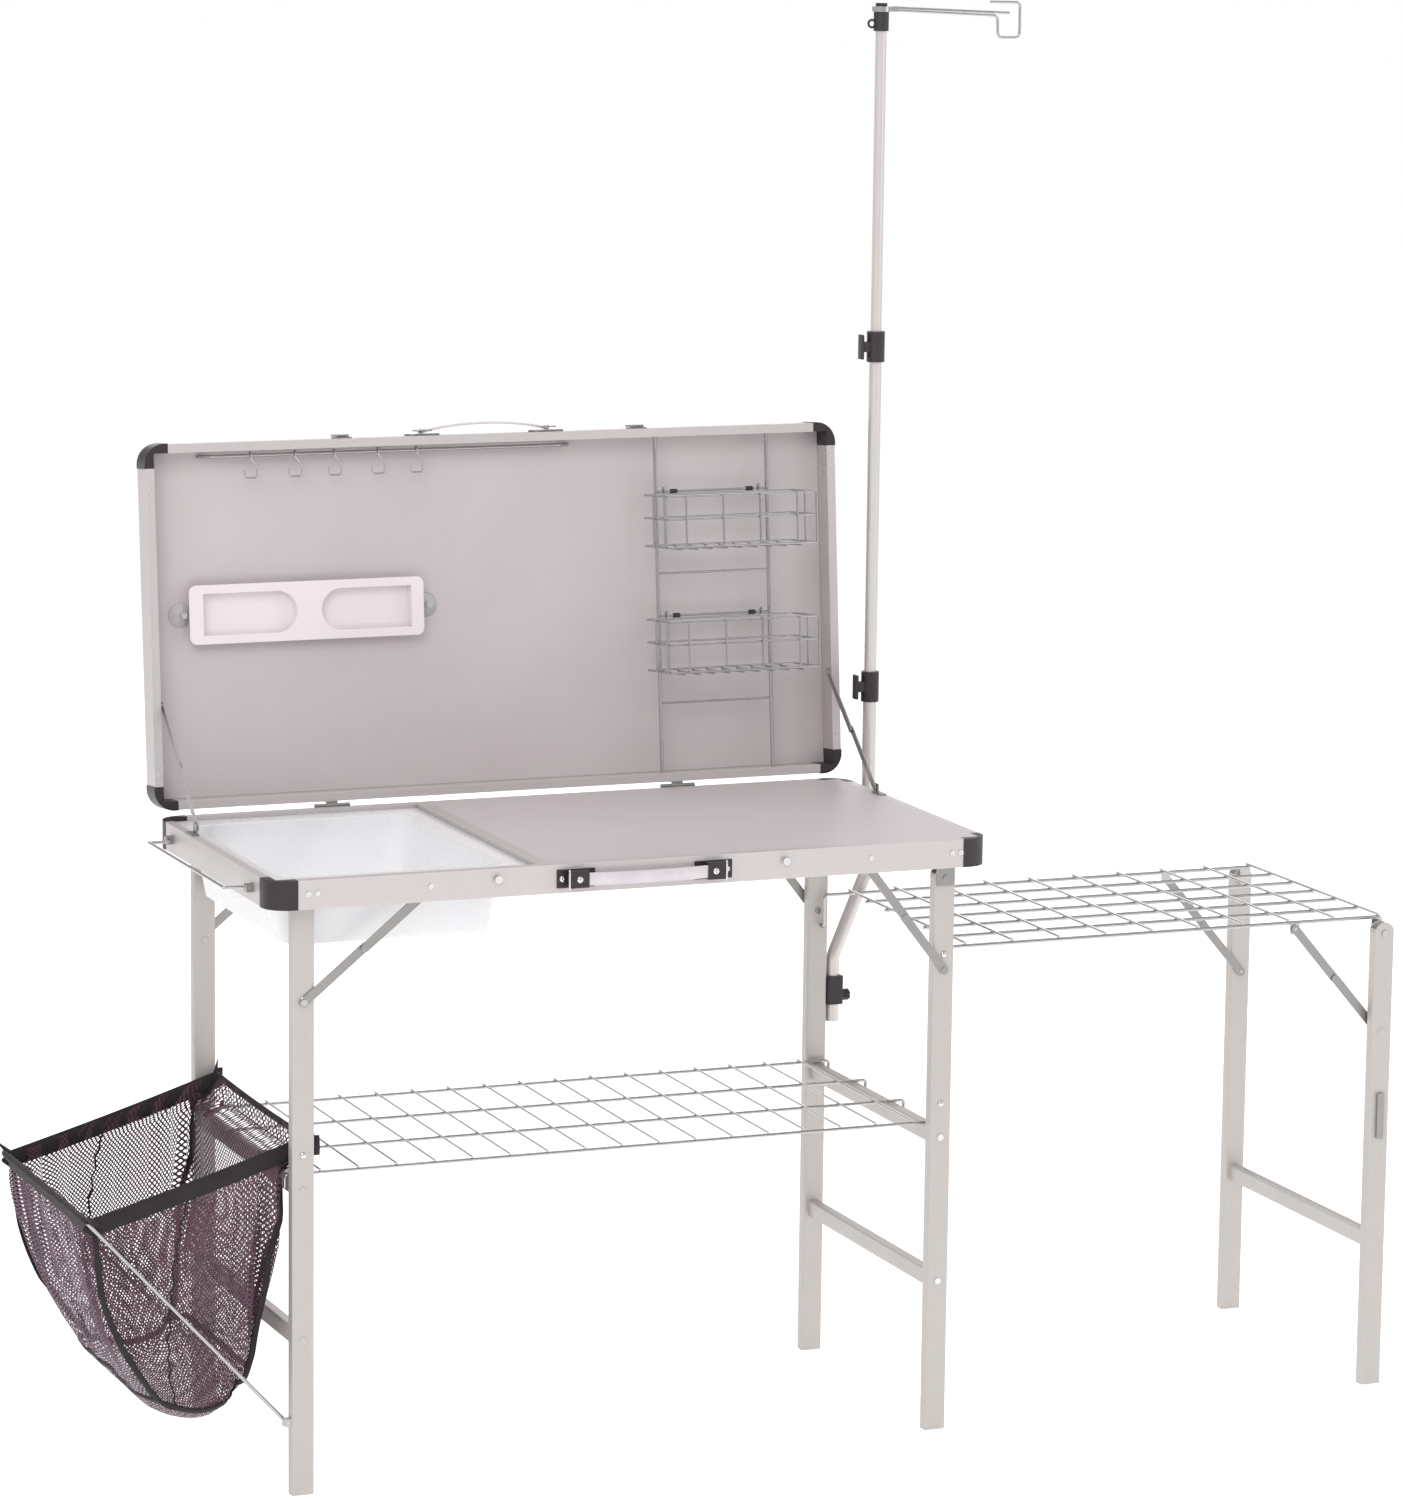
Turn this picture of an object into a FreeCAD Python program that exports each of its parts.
import FreeCAD, Part
import math
import os
from FreeCAD import Vector

# Camp kitchen table: a folding table with a lift-out basin, a lid that opens into a back board,
# a wire shelf, a hook-on side rack, a telescoping lantern pole and a mesh bag.
# Millimetres. X runs along the table to the rack, Y runs to the back, Z is up.
# While it is built, the middle of the table's footprint on the floor is the origin.

# ---- driving sizes: table ----
table_length = 1000.0
table_depth = 490.0
table_height = 813.0
rail_height = 38.0
rail_width = 12.0
cap_reach = 38.0
cap_radius = 32.0
cap_proud = 1.0
lid_cap_reach = 32.0
lid_cap_radius = 28.0
lip_width = 10.0
lip_thick = 3.0
panel_thick = 8.0
panel_gap = 0.2

# ---- legs ----
leg_width = 30.0
leg_thick = 18.0
leg_wall = 1.5
leg_corner = 3.0
leg_inset = 38.0
leg_side_gap = 12.0
foot_height = 6.0
leg_top_gap = 2.0
right_pivot_drop = 56.0
bar_height = 24.0
bar_thick = 15.0
bar_corner = 3.0
upper_bar_height = 404.0
lower_bar_height = 206.0

# ---- pins, rivets and folding braces ----
pin_radius = 2.5
running_gap = 0.05
part_gap = 0.3
head_radius = 4.5
head_thick = 1.2
link_thick = 2.4
link_gap = 0.4
link_half_width = 6.0
brace_drop = 138.0
brace_reach = 163.0
brace_anchor_drop = 29.0
right_brace_reach = 118.0
right_brace_drop = 124.0
rivet_drop = 18.0
rivet_offsets = (-1.0, 11.0)
rivet_radius = 3.6
stud_drop = 14.0
saddle_reach = 9.0
saddle_half = 5.0
saddle_half_width = 5.0
hanger_half = 13.0
hanger_thick = 2.0

# ---- basin and divider ----
divider_width = 18.0
divider_left_end = 363.0
divider_depth = 22.0
divider_lip = 9.0
basin_rim_gap = 6.0
basin_wall = 2.5
basin_depth = 95.0
basin_rim_end = 15.0
basin_rim_inner = 26.0
basin_side_gap = 4.0
basin_taper_end = 14.0
basin_taper_side = 11.0
basin_corner = 30.0

# ---- lid ----
hinge_back = 6.0
hinge_rise = 0.5
lid_lean = 5.3
lid_depth = 38.0
lid_panel_thick = 4.0
hinge_length = 50.0
hinge_knuckle_radius = 3.2
hinge_pin_radius = 1.5
hinge_leaf_thick = 1.5
hinge_leaf_depth = 24.0
hinge_offset = 252.0
stay_height = 147.0
stay_inset = 5.0
stay_foot_y = 106.0
stay_pin_height = 9.0
stay_thick = 1.5
stay_half_width = 5.0
stay_head_radius = 3.5
ear_half = 7.0
ear_foot_half = 14.0
ear_thick = 2.0

# ---- what hangs on the lid ----
rod_radius = 2.5
rod_left = -400.0
rod_right = 95.0
rod_below_rail = 7.0
rod_from_rim = 15.0
rod_step = 18.0
rod_bend = 6.0
s_hook_places = (-349.0, -286.0, -230.0, -168.0, -113.0)
s_hook_radius = 1.3
s_hook_half = 9.0
s_hook_neck = 6.0
s_hook_turn = 15.0
s_hook_foot = 30.0
s_hook_tip = 19.0
ladder_left = 233.0
ladder_right = 399.0
ladder_radius = 2.6
rung_radius = 1.7
ladder_from_rim = 8.0
rung_heights = (115.0, 236.0, 295.0, 408.0)
basket_left = 214.0
basket_length = 220.0
basket_depth = 84.0
basket_height = 70.0
basket_wire = 1.5
basket_uprights = 4
basket_floor_wires = 9
basket_rungs = (1, 3)
basket_top_gap = 4.0
basket_middle_share = 0.45
basket_hook_inset = 12.0
tray_left = -440.0
tray_length = 333.0
tray_low = 225.0
tray_width = 80.0
tray_thick = 3.0
tray_recess = 13.0
tray_from_panel = 2.0
cup_radius = 17.0
cup_neck_radius = 5.0
cup_height = 9.0
cup_stem_radius = 4.0
cup_offset = 8.0
tray_corner = 10.0
tray_margin = 12.0
tray_left_recess = (20.0, 152.0)
tray_right_recess = (187.0, 315.0)
keyhole_height = 425.0
keyhole_radius = 4.5
keyhole_slot = 4.0
keyhole_length = 14.0

# ---- front fittings ----
handle_left = -113.0
handle_right = 130.0
handle_plate_length = 52.0
handle_plate_height = 24.0
handle_plate_thick = 2.0
keeper_margins = (14.0, 12.0)
strap_gap = 9.0
strap_thick = 3.0
strap_inset = 3.5
strap_play = 0.2
latch_places = (-220.0, 208.0)
stud_radius = 5.0
stud_offsets = (26.0, -2.0)
stud_neck = 4.0
stud_head = 2.0
lid_handle_left = -125.0
lid_handle_right = 99.0
lid_plate_length = 44.0
lid_plate_half = 10.0
lid_plate_thick = 2.5
lid_strap_inset = 30.0
lid_strap_half = 8.0
lid_strap_thick = 3.0
lid_strap_rise = 9.0
latch_half = 12.0
latch_base_w = (4.0, 20.0)
latch_pin_w = 6.0
latch_pin_radius = 1.7
latch_base_thick = 2.0
tongue_half = 8.0
tongue_length = 28.0
bail_half = 175.0
bail_reach = 27.0
bail_wire = 2.2
bail_bend = 4.0
bail_eye = 6.0
bail_clip = 12.0

# ---- shelf ----
shelf_wire = 2.2
shelf_cross_wire = 1.6
shelf_long_wires = 4
shelf_cross_wires = 17
shelf_pitch = 52.0
shelf_side_gap = 9.0
shelf_clearance = 0.5
shelf_tip_drop = 17.0

# ---- side rack ----
rack_length = 665.0
rack_drop = 156.0
rack_tab_half = 8.0
anchor_tab_half = 7.0
rack_wire = 2.5
rack_cross_wire = 2.0
rack_long_wires = 7
rack_cross_wires = 10
rack_side_gap = 10.0
rack_gap = 28.0
rack_hook_drop = 201.0
rack_pivot_drop = 18.0
rack_brace_reach = 127.0
rack_brace_drop = 137.0
rack_tab_thick = 2.0
rack_link_thick = 1.8
rack_link_gap = 0.3
rack_clip_length = 64.0
rack_clip_thick = 2.0
rack_bar_height = 204.0
rack_clip_height = 383.0

# ---- lantern pole ----
pole_gap = 24.0
pole_lower_radius = 9.5
pole_middle_radius = 8.5
pole_top_radius = 7.5
pole_wall = 0.95
pole_foot_drop = 340.0
bend_low_drop = 248.0
bend_high_drop = 128.0
collar_radius = 12.5
collar_height = 42.0
collar_ear_reach = 7.0
collar_ear_half = 6.0
collar_ear = (14.0, 28.0)
lever_span = (4.0, 36.0)
lever_thick = 4.0
lever_gap = 0.3
lower_collar_rise = 112.0
upper_collar_rise = 587.0
middle_end_rise = 57.0
top_end_rise = 527.0
pole_cap_rise = 1041.0
cap_height = 38.0
cap_neck_height = 12.0
cap_crown_height = 4.0
cap_loop_radius = 5.0
cap_loop_wire = 1.6
cap_loop_offset = (14.0, 10.0)
yoke_height = 8.0
arm_start = 17.0
arm_wire_offset = 2.6
arm_top_inset = 14.0
hook_steps = ((34.0, 8.0), (33.0, 38.0))
hook_depth = 38.0
hook_return = (45.0, 10.0, 11.0)
hook_bend = 7.0
pole_bend = 40.0
pole_cap_radius = 10.5
cap_crown_radius = 8.0
cap_neck_radius = 8.4
yoke_radius = 13.0
yoke_bore = 8.45
lug_half = 5.0
lug_length = 24.0
clamp_drop = 315.0
clamp_height = 40.0
clamp_wall = 3.0
knob_rise = 11.0
knob_radius = 8.0
knob_length = 12.0
knob_grooves = 6
groove_radius = 2.5
arm_reach = 208.0
arm_wire = 1.9

# ---- mesh bag ----
bag_reach = 266.0
bag_bar_height = 380.0
bag_pivot_height = 97.0
bag_wire = 2.5
bag_wall = 3.0
bag_bottom = 88.0
bag_rim_inner = 468.0
bag_side_gap = 8.0
bag_from_bar = 3.5
bag_from_shelf = 6.0
bag_arm_start = 7.5
bag_arm_end = 5.0
bag_hem_rise = 26.0
bag_shoulder_rise = 12.0
bag_outer_rise = 130.0
bag_inner_rise = 110.0
bag_belly_shift = 8.0

# ---- places worked out from the driving sizes ----
half_length = table_length / 2
half_depth = table_depth / 2
rail_bottom = table_height - rail_height
lip_top = table_height - panel_thick
inner_x = half_length - rail_width
inner_y = half_depth - rail_width
leg_outer_x = half_length - leg_inset
leg_inner_x = leg_outer_x - leg_width
leg_x = (leg_outer_x + leg_inner_x) / 2
leg_outer_y = inner_y - leg_side_gap
leg_inner_y = leg_outer_y - leg_thick
leg_y = (leg_outer_y + leg_inner_y) / 2
left_pivot_z = lip_top - leg_top_gap - leg_width / 2
right_pivot_z = table_height - right_pivot_drop
anchor_z = table_height - brace_anchor_drop
axis_y = half_depth + hinge_back
axis_z = table_height + hinge_rise
lid_low = hinge_back
lid_high = hinge_back + table_depth
lid_panel_front = lid_depth - lid_panel_thick
divider_left = -half_length + divider_left_end
divider_right = divider_left + divider_width
bar_half_diagonal = math.hypot(bar_height / 2 - bar_corner, bar_thick / 2 - bar_corner) + bar_corner
shelf_z = upper_bar_height + bar_half_diagonal + shelf_clearance + shelf_wire
shelf_y = leg_inner_y - shelf_side_gap
rack_height = table_height - rack_drop
rack_hook_height = table_height - rack_hook_drop
rack_y = leg_inner_y - rack_side_gap
rack_left = leg_outer_x + rack_gap
rack_leg_x = leg_x + rack_length
rack_pivot_z = rack_height - rack_pivot_drop
pole_x = half_length + pole_gap
pole_foot_x = leg_outer_x + pole_lower_radius + 2.5
pole_y = leg_y
pole_foot = table_height - pole_foot_drop
pole_bend_low = table_height - bend_low_drop
pole_bend_high = table_height - bend_high_drop
clamp_bottom = table_height - clamp_drop
middle_end = table_height + middle_end_rise
lower_collar_z = table_height + lower_collar_rise
top_end = table_height + top_end_rise
upper_collar_z = table_height + upper_collar_rise
cap_bottom = table_height + pole_cap_rise
bag_outer_x = -leg_outer_x - bag_reach
bag_half = leg_inner_y - bag_side_gap
bag_pivot_x = -leg_outer_x - saddle_reach / 2

nodes = {}


def add(name, *solids):
    """Put solids into a named node; a node may hold several separate solids."""
    nodes.setdefault(name, []).extend(solids)


def box(x, y, z):
    """Box between pairs of coordinates."""
    corner = Vector(min(x), min(y), min(z))
    return Part.makeBox(abs(x[1] - x[0]), abs(y[1] - y[0]), abs(z[1] - z[0]), corner)


def rod(start, end, radius):
    """Straight round bar between two points."""
    a = Vector(*start)
    b = Vector(*end)
    return Part.makeCylinder(radius, (b - a).Length, a, b - a)


def front_back(shape):
    """The shape and its mirror image across the XZ plane."""
    return shape, shape.mirror(Vector(0, 0, 0), Vector(0, 1, 0))


def left_right(shape):
    """The shape and its mirror image across the YZ plane."""
    return shape, shape.mirror(Vector(0, 0, 0), Vector(1, 0, 0))


def four_corners(shape):
    """The shape at all four corners."""
    return [twin for side in front_back(shape) for twin in left_right(side)]


def rounded_prism(x, y, z, radius):
    """Upright prism with rounded vertical edges."""
    solid = box(x, y, z)
    edges = [e for e in solid.Edges if abs(e.Vertexes[0].Z - e.Vertexes[1].Z) > 1e-6]
    return solid.makeFillet(radius, edges)


def bent_path(points, bend):
    """Straight runs through the points, joined by tangent arcs of the bend radius."""
    corners = [Vector(*p) for p in points]
    edges = []
    start = corners[0]
    for before, corner, after in zip(corners, corners[1:], corners[2:]):
        back = (before - corner).normalize()
        ahead = (after - corner).normalize()
        turn = math.pi - back.getAngle(ahead)
        cut = bend * math.tan(turn / 2)
        arc_in = corner + back * cut
        arc_out = corner + ahead * cut
        inside = (back + ahead).normalize()
        reach = bend / math.cos(turn / 2) - bend
        edges.append(Part.LineSegment(start, arc_in).toShape())
        edges.append(Part.Arc(arc_in, corner + inside * reach, arc_out).toShape())
        start = arc_out
    edges.append(Part.LineSegment(start, corners[-1]).toShape())
    return Part.Wire(edges)


def bent_wire(points, radius, bend):
    """Round wire that follows straight runs and bends."""
    path = bent_path(points, bend)
    first = Vector(*points[0])
    ahead = Vector(*points[1]) - first
    ring = Part.Wire([Part.Circle(first, ahead, radius).toShape()])
    return path.makePipeShell([ring], True, True)


def upright(shape):
    """Lean a shape that was built on the upright lid back to the open lid's angle."""
    turned = shape.copy()
    turned.rotate(Vector(0, axis_y, axis_z), Vector(1, 0, 0), -lid_lean)
    return turned


def on_lid(x, w, u):
    """Upright lid coordinates: w goes back from the rim plane, u up from the hinge axis."""
    return (x, axis_y + w, axis_z + u)


def lid_box(x, w, u):
    """Box in upright lid coordinates, leaned back with the lid."""
    return upright(box(x, (axis_y + w[0], axis_y + w[1]), (axis_z + u[0], axis_z + u[1])))


def lid_rod(start, end, radius):
    """Round bar in upright lid coordinates, leaned back with the lid."""
    return upright(rod(on_lid(*start), on_lid(*end), radius))


def lid_point(x, w, u):
    """Where a point of the upright lid is once the lid leans back."""
    lean = math.radians(lid_lean)
    y = w * math.cos(lean) + u * math.sin(lean)
    z = u * math.cos(lean) - w * math.sin(lean)
    return (x, axis_y + y, axis_z + z)


def leg_tube(x, z_top, pivot_z, holes):
    """Rectangular leg tube with a round top, pin holes across it and a plug in its foot."""
    wide = (x - leg_width / 2, x + leg_width / 2)
    deep = (leg_inner_y, leg_outer_y)
    outer = rounded_prism(wide, deep, (foot_height, z_top), leg_corner)
    inner = box(
        (x - leg_width / 2 + leg_wall, x + leg_width / 2 - leg_wall),
        (leg_inner_y + leg_wall, leg_outer_y - leg_wall),
        (0, z_top + 1),
    )
    crown = rod((x, leg_inner_y - 1, pivot_z), (x, leg_outer_y + 1, pivot_z), leg_width / 2)
    below = box((x - leg_width, x + leg_width), (leg_inner_y - 1, leg_outer_y + 1), (-1, pivot_z))
    tube = outer.cut(inner).common(crown.fuse(below))
    for hole_z in holes:
        hole_ends = [(x, y, hole_z) for y in (leg_inner_y - 1, leg_outer_y + 1)]
        tube = tube.cut(rod(*hole_ends, pin_radius + running_gap))
    plug = rounded_prism(wide, deep, (0, foot_height), leg_corner)
    return tube, plug


def cross_bar(x, z):
    """Rounded bar that ties a pair of legs together."""
    wide = (x - bar_thick / 2, x + bar_thick / 2)
    bar = box(wide, (-leg_inner_y, leg_inner_y), (z - bar_height / 2, z + bar_height / 2))
    edges = [e for e in bar.Edges if abs(e.Vertexes[0].Y - e.Vertexes[1].Y) > 1.0]
    return bar.makeFillet(bar_corner, edges)


def link(pivot, joint, plane, thick, half_width, hole):
    """Flat link with round ends in an XZ plane, drilled at its pivot; both points are (x, z)."""
    a = Vector(pivot[0], plane, pivot[1])
    b = Vector(joint[0], plane, joint[1])
    along = (b - a).normalize()
    side = along.cross(Vector(0, 1, 0)) * half_width
    outline = Part.makePolygon([a + side, b + side, b - side, a - side, a + side])
    body = Part.Face(outline).extrude(Vector(0, thick, 0))
    for centre in (a, b):
        body = body.fuse(Part.makeCylinder(half_width, thick, centre, Vector(0, 1, 0)))
    return body.cut(Part.makeCylinder(hole, thick, a, Vector(0, 1, 0))).removeSplitter()


def pin_with_head(x, z, y_in, y_out, head_in=False, head_out=False):
    """Round pin along Y, with a flat head at either end."""
    shape = rod((x, y_in, z), (x, y_out, z), pin_radius)
    if head_in:
        shape = shape.fuse(rod((x, y_in - head_thick, z), (x, y_in, z), head_radius))
    if head_out:
        shape = shape.fuse(rod((x, y_out, z), (x, y_out + head_thick, z), head_radius))
    return shape


# ---- braces: a link on the rail and a link on the leg, side by side between leg and rail ----
lower_plane = leg_outer_y + link_gap
upper_plane = lower_plane + link_thick + link_gap


def brace_points(pivot_x, pivot_z, rivet_z, anchor_x, side_anchor_z):
    """Leg rivet, middle joint and rail anchor of a brace, as (x, z)."""
    rivet = (pivot_x, rivet_z)
    anchor = (anchor_x, side_anchor_z)
    middle = ((rivet[0] + anchor[0]) / 2, (rivet[1] + anchor[1]) / 2)
    return rivet, middle, anchor


left_rivet, left_middle, left_anchor = brace_points(
    -leg_x, left_pivot_z, left_pivot_z - brace_drop, -leg_x + brace_reach, anchor_z
)
right_rivet, right_middle, right_anchor = brace_points(
    leg_x, right_pivot_z, right_pivot_z - right_brace_drop, leg_x - right_brace_reach, anchor_z
)


def make_rails():
    """Front rail and left end rail, between the corner caps."""
    z = (rail_bottom, table_height)
    long_x = half_length - cap_reach
    long_y = half_depth - cap_reach
    front = box((-long_x, long_x), (-half_depth, -inner_y), z)
    end = box((-half_length, -inner_x), (-long_y, long_y), z)
    return front, end


def corner_cap(low, high, reach, radius):
    """Rounded corner cap at the front left, one wall thick, open on the inside."""
    reach_x = half_length - reach
    reach_y = half_depth - reach
    x = (-half_length - cap_proud, -reach_x)
    y = (-half_depth - cap_proud, -reach_y)
    block = box(x, y, (low, high))
    corner_edges = [e for e in block.Edges if e.BoundBox.XMax < x[0] + 0.01 and e.BoundBox.YMax < y[0] + 0.01]
    block = block.makeFillet(radius, corner_edges)
    inside = box((-inner_x, -reach_x + 1), (-inner_y, -reach_y + 1), (low - 1, high + 1))
    return block.cut(inside)


def make_table_frame():
    """Rails, support lips, corner caps, worktop and divider."""
    front, end = make_rails()
    back = front.mirror(Vector(0, 0, 0), Vector(0, 1, 0))
    lip_long = half_length - cap_reach
    lip_short = half_depth - cap_reach
    lip_z = (lip_top - lip_thick, lip_top)
    front_lip = box((-lip_long, lip_long), (-inner_y, -inner_y + lip_width), lip_z)
    end_lip = box((-inner_x, -inner_x + lip_width), (-lip_short, lip_short), lip_z)
    add("front_rail", front, front_lip)
    add("back_rail", back, front_lip.mirror(Vector(0, 0, 0), Vector(0, 1, 0)))
    add("end_rails", *left_right(end), *left_right(end_lip))
    add("corner_caps", *four_corners(corner_cap(rail_bottom, table_height, cap_reach, cap_radius)))
    panel = box(
        (divider_right + panel_gap, inner_x - panel_gap),
        (-inner_y + panel_gap, inner_y - panel_gap),
        (lip_top, table_height),
    )
    add("worktop_panel", panel)
    clear_y = inner_y - lip_width - panel_gap
    strip_y = inner_y - panel_gap
    strip = box((divider_left, divider_right), (-strip_y, strip_y), (lip_top, table_height))
    web = box((divider_left, divider_right), (-clear_y, clear_y), (table_height - divider_depth, lip_top))
    ledge = box((divider_left - divider_lip, divider_right + divider_lip), (-clear_y, clear_y), lip_z)
    add("divider_strip", strip.fuse(web).fuse(ledge).removeSplitter())


def basin_ring(x, half_y, z, radius):
    """Rounded rectangle as a closed wire at one height."""
    slab = rounded_prism(x, (-half_y, half_y), (z, z + 1.0), radius)
    low_face = [f for f in slab.Faces if f.BoundBox.ZMax < z + 0.01][0]
    return low_face.OuterWire


def make_basin():
    """Tapered basin with a flat rim that rests on the lips and lifts out."""
    rim_x = (-inner_x + basin_rim_gap, divider_left - panel_gap)
    rim_y = inner_y - panel_gap - 0.3
    top_x = (-inner_x + basin_rim_end + 1.0, divider_left - basin_rim_inner)
    top_y = leg_inner_y - basin_side_gap
    low_x = (top_x[0] + basin_taper_end, top_x[1] - basin_taper_end)
    low_y = top_y - basin_taper_side
    floor_z = table_height - basin_depth
    rim_top = lip_top + basin_wall
    foot_ring = basin_ring(low_x, low_y, floor_z, basin_corner)
    mouth_ring = basin_ring(top_x, top_y, rim_top, basin_corner)
    outer = Part.makeLoft([foot_ring, mouth_ring], True)
    wall = basin_wall
    inner = Part.makeLoft(
        [
            basin_ring((low_x[0] + wall, low_x[1] - wall), low_y - wall, floor_z + wall, basin_corner - wall),
            basin_ring((top_x[0] + wall, top_x[1] - wall), top_y - wall, rim_top, basin_corner - wall),
        ],
        True,
    )
    rim = rounded_prism(rim_x, (-rim_y, rim_y), (lip_top, rim_top), 6.0)
    add("basin", rim.fuse(outer).cut(inner).removeSplitter())


def make_legs():
    """Two leg pairs with their cross bars; the left pair folds, the right pair hangs lower."""
    left_holes = (left_pivot_z, left_rivet[1])
    right_holes = (right_pivot_z, right_rivet[1])
    left = leg_tube(-leg_x, left_pivot_z + leg_width / 2, left_pivot_z, left_holes)
    right = leg_tube(leg_x, right_pivot_z + leg_width / 2, right_pivot_z, right_holes)
    hook_hole = rod(
        (leg_x + 5.0, leg_inner_y - 1, rack_hook_height),
        (leg_x + 5.0, leg_inner_y + leg_wall + 1, rack_hook_height),
        rack_wire + running_gap,
    )
    right = (right[0].cut(hook_hole), right[1])
    for solid in left:
        add("left_legs", *front_back(solid))
    for solid in right:
        add("right_legs", *front_back(solid))
    saddle = box(
        (-leg_outer_x - saddle_reach, -leg_outer_x),
        (leg_y - saddle_half_width, leg_y + saddle_half_width),
        (bag_pivot_height - saddle_half, bag_pivot_height + saddle_half),
    )
    eye_ends = [(bag_pivot_x, y, bag_pivot_height) for y in (leg_inner_y, leg_outer_y)]
    saddle = saddle.cut(rod(*eye_ends, bag_wire + running_gap))
    add("left_legs", *front_back(saddle))
    rivet = pin_with_head(left_rivet[0], left_rivet[1], leg_inner_y, lower_plane + link_thick, True, True)
    add("left_legs", *front_back(rivet))
    for z in (upper_bar_height, lower_bar_height):
        bar_rivet = rod((-leg_x, leg_outer_y, z), (-leg_x, leg_outer_y + head_thick, z), head_radius)
        add("left_legs", *front_back(bar_rivet))
    for side, name in ((-1, "left_cross_bars"), (1, "right_cross_bars")):
        for bar_z in (upper_bar_height, lower_bar_height):
            add(name, cross_bar(side * leg_x, bar_z))


def brace_pair(rivet, middle, anchor):
    """A brace's lower link, and its upper link with the middle rivet's head on its outer face."""
    hole = pin_radius + running_gap
    lower = link(rivet, middle, lower_plane, link_thick, link_half_width, hole)
    upper = link(anchor, middle, upper_plane, link_thick, link_half_width, hole)
    face = upper_plane + link_thick
    head = rod((middle[0], face, middle[1]), (middle[0], face + head_thick, middle[1]), head_radius)
    return lower, upper.fuse(head).removeSplitter()


def make_braces():
    """Two-link folding braces between each leg and its rail."""
    lower, upper = brace_pair(left_rivet, left_middle, left_anchor)
    add("left_brace_lower", *front_back(lower))
    add("left_brace_upper", *front_back(upper))
    lower, upper = brace_pair(right_rivet, right_middle, right_anchor)
    rivet = pin_with_head(right_rivet[0], right_rivet[1], leg_inner_y, lower_plane + link_thick, True, True)
    for solid in (lower, upper, rivet):
        add("right_braces", *front_back(solid))


def make_rail_hardware():
    """Pivot pins, brace anchors, rail rivets, latch studs and the right legs' hanging brackets."""
    pins = [pin_with_head(-leg_x, left_pivot_z, leg_inner_y - 0.3, inner_y, True)]
    pins.append(pin_with_head(left_anchor[0], left_anchor[1], upper_plane - 0.2, inner_y))
    pins.append(pin_with_head(right_anchor[0], right_anchor[1], upper_plane - 0.2, inner_y))
    face_y = half_depth
    rivet_z = table_height - rivet_drop
    places = [side * leg_x + offset for side in (-1, 1) for offset in rivet_offsets]
    for x in places + [left_anchor[0], right_anchor[0]]:
        pins.append(rod((x, face_y, rivet_z), (x, face_y + head_thick, rivet_z), rivet_radius))
    for z in (upper_bar_height, lower_bar_height):
        pins.append(rod((leg_x, leg_outer_y, z), (leg_x, leg_outer_y + head_thick, z), head_radius))
    for pin in pins:
        add("rail_rivets", *front_back(pin))
    stud_z = table_height - stud_drop
    for place, offset in zip(latch_places, stud_offsets):
        x = place + offset
        face = -face_y - stud_neck
        neck = rod((x, -face_y, stud_z), (x, face, stud_z), stud_radius * 0.6)
        head = rod((x, face, stud_z), (x, face - stud_head, stud_z), stud_radius)
        add("rail_rivets", neck.fuse(head))
    plate_x = (leg_x - hanger_half, leg_x + hanger_half)
    plate_y = (leg_outer_y + link_gap, leg_outer_y + link_gap + hanger_thick)
    plate = box(plate_x, plate_y, (right_pivot_z - 10.0, lip_top - lip_thick - 0.5))
    flange_z = (rail_bottom + 2 * hanger_thick, rail_bottom + 3 * hanger_thick)
    flange = box(plate_x, (plate_y[0], inner_y), flange_z)
    plate = plate.fuse(flange).removeSplitter()
    hole_ends = [(leg_x, y, right_pivot_z) for y in (plate_y[0] - 1, plate_y[1] + 1)]
    plate = plate.cut(rod(*hole_ends, pin_radius))
    pin = pin_with_head(leg_x, right_pivot_z, leg_inner_y, plate_y[1], True, True)
    add("right_leg_brackets", *front_back(plate), *front_back(pin))


def make_hinges():
    """Two butt hinges at the back edge; the pin stays with the lower leaf."""
    radius = hinge_knuckle_radius
    for side in (-1, 1):
        x0 = side * hinge_offset - hinge_length / 2
        third = hinge_length / 3
        for start in (x0, x0 + 2 * third):
            x = (start, start + third)
            knuckle = rod((x[0], axis_y, axis_z), (x[1], axis_y, axis_z), radius)
            leaf_y = (half_depth, half_depth + hinge_leaf_thick)
            leaf = box(x, leaf_y, (axis_z - hinge_leaf_depth - 1.0, axis_z - 1.0))
            neck = box(x, (half_depth, axis_y), (axis_z - radius, axis_z - radius + hinge_leaf_thick))
            bore = rod((x[0], axis_y, axis_z), (x[1], axis_y, axis_z), hinge_pin_radius + running_gap)
            add("hinge_lower_leaves", leaf.fuse(neck).fuse(knuckle).cut(bore).removeSplitter())
        pin = rod((x0 - 0.5, axis_y, axis_z), (x0 + hinge_length + 0.5, axis_y, axis_z), hinge_pin_radius)
        add("hinge_lower_leaves", pin)
        x = (x0 + third + 0.3, x0 + 2 * third - 0.3)
        knuckle = rod(on_lid(x[0], 0, 0), on_lid(x[1], 0, 0), radius)
        bore = rod(on_lid(x[0], 0, 0), on_lid(x[1], 0, 0), hinge_pin_radius + running_gap)
        neck = box(x, (axis_y, axis_y + hinge_leaf_thick), (axis_z, axis_z + lid_low))
        leaf_z = (axis_z + lid_low - hinge_leaf_thick, axis_z + lid_low)
        leaf = box(x, (axis_y, axis_y + hinge_leaf_depth), leaf_z)
        add("hinge_upper_leaves", upright(knuckle.fuse(neck).fuse(leaf).cut(bore).removeSplitter()))


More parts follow.
